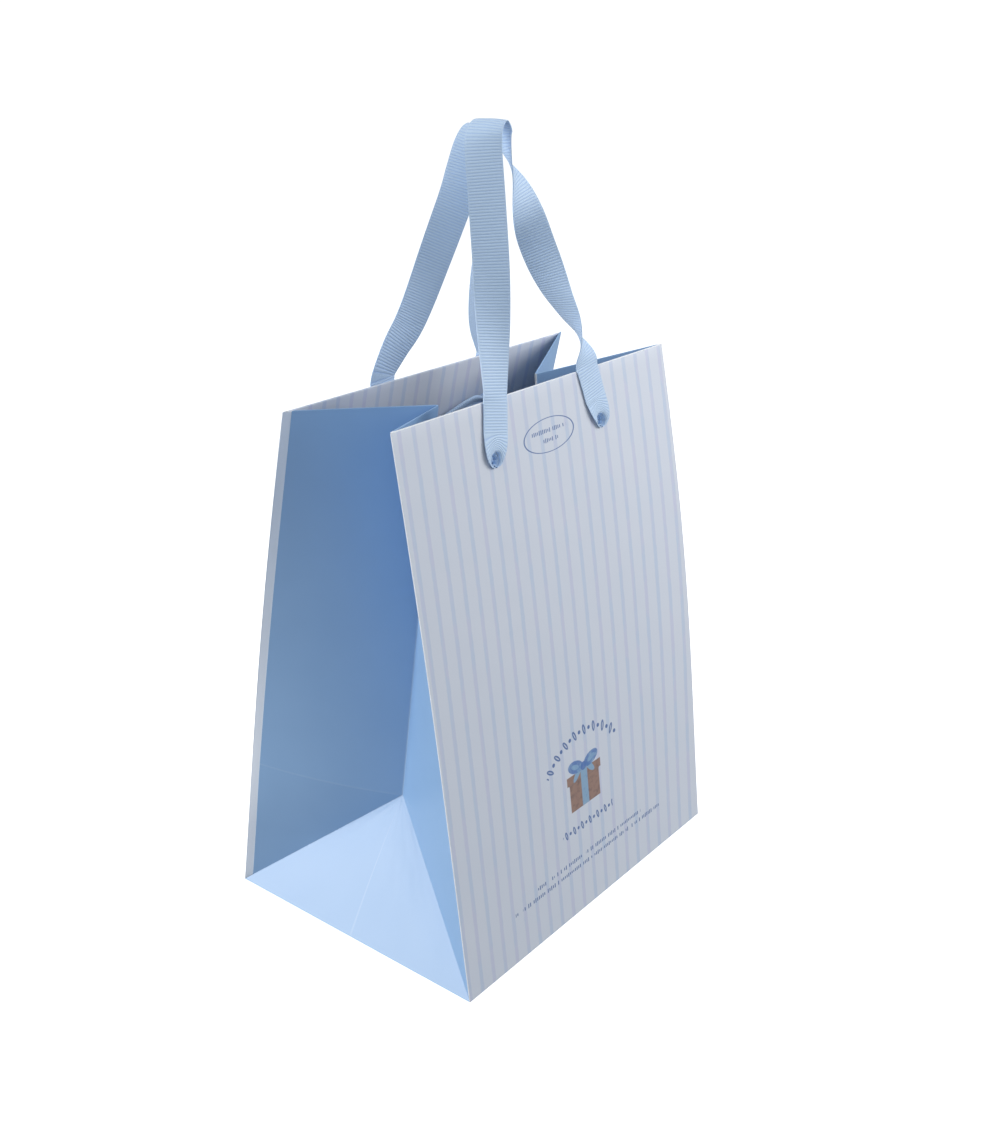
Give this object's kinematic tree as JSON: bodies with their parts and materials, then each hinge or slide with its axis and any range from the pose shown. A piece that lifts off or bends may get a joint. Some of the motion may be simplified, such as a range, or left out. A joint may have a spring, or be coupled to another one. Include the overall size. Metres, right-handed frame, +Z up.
{
  "type": "gift bag",
  "caption": "Folding paper gift bag with a striped front and back, plain blue side gussets, a carded base and ribbon loop handles.",
  "frame": {"origin": "middle of the base, on the surface that the bag stands on", "axes": "+Z up, +X to the right along the front panel, +Y to the back"},
  "size_m": [0.25, 0.1899, 0.4669],
  "materials": {
    "striped_paper": "matte",
    "blue_paper": "matte",
    "bare_paper": "matte",
    "card": "matte",
    "ribbon": "satin"
  },
  "bodies": {
    "base": {"base_front_flap": "blue_paper", "base_back_flap": "blue_paper", "base_left_flap": "blue_paper", "base_right_flap": "blue_paper", "base_card": "card"},
    "front_panel": {"front_panel": "striped_paper", "front_top_card": "card", "front_turn_in": "striped_paper", "front_left_knot": "ribbon", "front_right_knot": "ribbon"},
    "back_panel": {"back_panel": "striped_paper", "back_top_card": "card", "back_turn_in": "striped_paper", "back_left_knot": "ribbon", "back_right_knot": "ribbon"},
    "left_front_gusset_lower": {"left_front_gusset_lower": "blue_paper"},
    "left_front_gusset_upper": {"left_front_gusset_upper": "blue_paper", "left_front_gusset_turn_in": "blue_paper"},
    "left_back_gusset_lower": {"left_back_gusset_lower": "blue_paper", "glue_flap_lower": "bare_paper"},
    "left_back_gusset_upper": {"left_back_gusset_upper": "blue_paper", "left_back_gusset_turn_in": "blue_paper", "glue_flap_upper": "bare_paper"},
    "left_foot": {"left_foot": "blue_paper"},
    "right_front_gusset_lower": {"right_front_gusset_lower": "blue_paper"},
    "right_front_gusset_upper": {"right_front_gusset_upper": "blue_paper", "right_front_gusset_turn_in": "blue_paper"},
    "right_back_gusset_lower": {"right_back_gusset_lower": "blue_paper"},
    "right_back_gusset_upper": {"right_back_gusset_upper": "blue_paper", "right_back_gusset_turn_in": "blue_paper"},
    "right_foot": {"right_foot": "blue_paper"},
    "front_handle_ends": {"front_handle_ends": "ribbon"},
    "front_handle_loop": {"front_handle_loop": "ribbon"},
    "back_handle_ends": {"back_handle_ends": "ribbon"},
    "back_handle_loop": {"back_handle_loop": "ribbon"}
  },
  "joints": [
    {"name": "mouth", "type": "hinge", "parent": "base", "child": "front_panel", "pos_m": [0, -0.095, 0], "axis": [-1, 0, 0], "range_deg": [-4, 5]},
    {"name": "back_panel_fold", "type": "hinge", "parent": "base", "child": "back_panel", "pos_m": [0, 0.095, 0], "axis": [1, 0, 0], "range_deg": [-4, 5]},
    {"name": "left_front_corner_fold", "type": "hinge", "parent": "front_panel", "child": "left_front_gusset_lower", "pos_m": [-0.125, -0.09238, -0.00038], "axis": [0, -0.1444, -0.9895], "range_deg": [-6, 7.5]},
    {"name": "left_front_gusset_bend", "type": "hinge", "parent": "left_front_gusset_lower", "child": "left_front_gusset_upper", "pos_m": [-0.125, -0.09238, -0.00038], "axis": [0, -0.1444, -0.9895], "range_deg": [-8.8, 11]},
    {"name": "left_back_corner_fold", "type": "hinge", "parent": "back_panel", "child": "left_back_gusset_lower", "pos_m": [-0.125, 0.0924, -0.00052], "axis": [0, -0.1942, 0.981], "range_deg": [-6, 7.5]},
    {"name": "left_back_gusset_bend", "type": "hinge", "parent": "left_back_gusset_lower", "child": "left_back_gusset_upper", "pos_m": [-0.125, 0.0924, -0.00052], "axis": [0, -0.1942, 0.981], "range_deg": [-8.8, 11]},
    {"name": "left_foot_fold", "type": "hinge", "parent": "base", "child": "left_foot", "pos_m": [-0.125, 0, 0], "axis": [0, 1, 0], "range_deg": [-6, 7.5]},
    {"name": "right_front_corner_fold", "type": "hinge", "parent": "front_panel", "child": "right_front_gusset_lower", "pos_m": [0.125, -0.09238, -0.00038], "axis": [0, 0.1444, 0.9895], "range_deg": [-6, 7.5]},
    {"name": "right_front_gusset_bend", "type": "hinge", "parent": "right_front_gusset_lower", "child": "right_front_gusset_upper", "pos_m": [0.125, -0.09238, -0.00038], "axis": [0, 0.1444, 0.9895], "range_deg": [-8.8, 11]},
    {"name": "right_back_corner_fold", "type": "hinge", "parent": "back_panel", "child": "right_back_gusset_lower", "pos_m": [0.125, 0.0924, -0.00052], "axis": [0, 0.1942, -0.981], "range_deg": [-6, 7.5]},
    {"name": "right_back_gusset_bend", "type": "hinge", "parent": "right_back_gusset_lower", "child": "right_back_gusset_upper", "pos_m": [0.125, 0.0924, -0.00052], "axis": [0, 0.1942, -0.981], "range_deg": [-8.8, 11]},
    {"name": "right_foot_fold", "type": "hinge", "parent": "base", "child": "right_foot", "pos_m": [0.125, 0, 0], "axis": [0, -1, 0], "range_deg": [-6, 7.5]},
    {"name": "front_handle_swing", "type": "hinge", "parent": "front_panel", "child": "front_handle_ends", "pos_m": [0, -0.05253, 0.29496], "axis": [1, 0, 0], "range_deg": [0, 150]},
    {"name": "front_handle_bend", "type": "hinge", "parent": "front_handle_ends", "child": "front_handle_loop", "pos_m": [0, -0.04718, 0.33157], "axis": [1, 0, 0], "range_deg": [-14.4, 18]},
    {"name": "back_handle_swing", "type": "hinge", "parent": "back_panel", "child": "back_handle_ends", "pos_m": [0, 0.03766, 0.29243], "axis": [-1, 0, 0], "range_deg": [0, 150]},
    {"name": "back_handle_bend", "type": "hinge", "parent": "back_handle_ends", "child": "back_handle_loop", "pos_m": [0, 0.03047, 0.32873], "axis": [-1, 0, 0], "range_deg": [-13.6, 17]}
  ],
  "couplings": [
    {"joint": "back_panel_fold", "follows": "mouth", "ratio": 1},
    {"joint": "left_front_corner_fold", "follows": "mouth", "ratio": 1.5},
    {"joint": "left_front_gusset_bend", "follows": "mouth", "ratio": 2.2},
    {"joint": "left_back_corner_fold", "follows": "mouth", "ratio": 1.5},
    {"joint": "left_back_gusset_bend", "follows": "mouth", "ratio": 2.2},
    {"joint": "left_foot_fold", "follows": "mouth", "ratio": 1.5},
    {"joint": "right_front_corner_fold", "follows": "mouth", "ratio": 1.5},
    {"joint": "right_front_gusset_bend", "follows": "mouth", "ratio": 2.2},
    {"joint": "right_back_corner_fold", "follows": "mouth", "ratio": 1.5},
    {"joint": "right_back_gusset_bend", "follows": "mouth", "ratio": 2.2},
    {"joint": "right_foot_fold", "follows": "mouth", "ratio": 1.5},
    {"joint": "front_handle_bend", "follows": "mouth", "ratio": 3.6},
    {"joint": "back_handle_bend", "follows": "mouth", "ratio": 3.4}
  ]
}
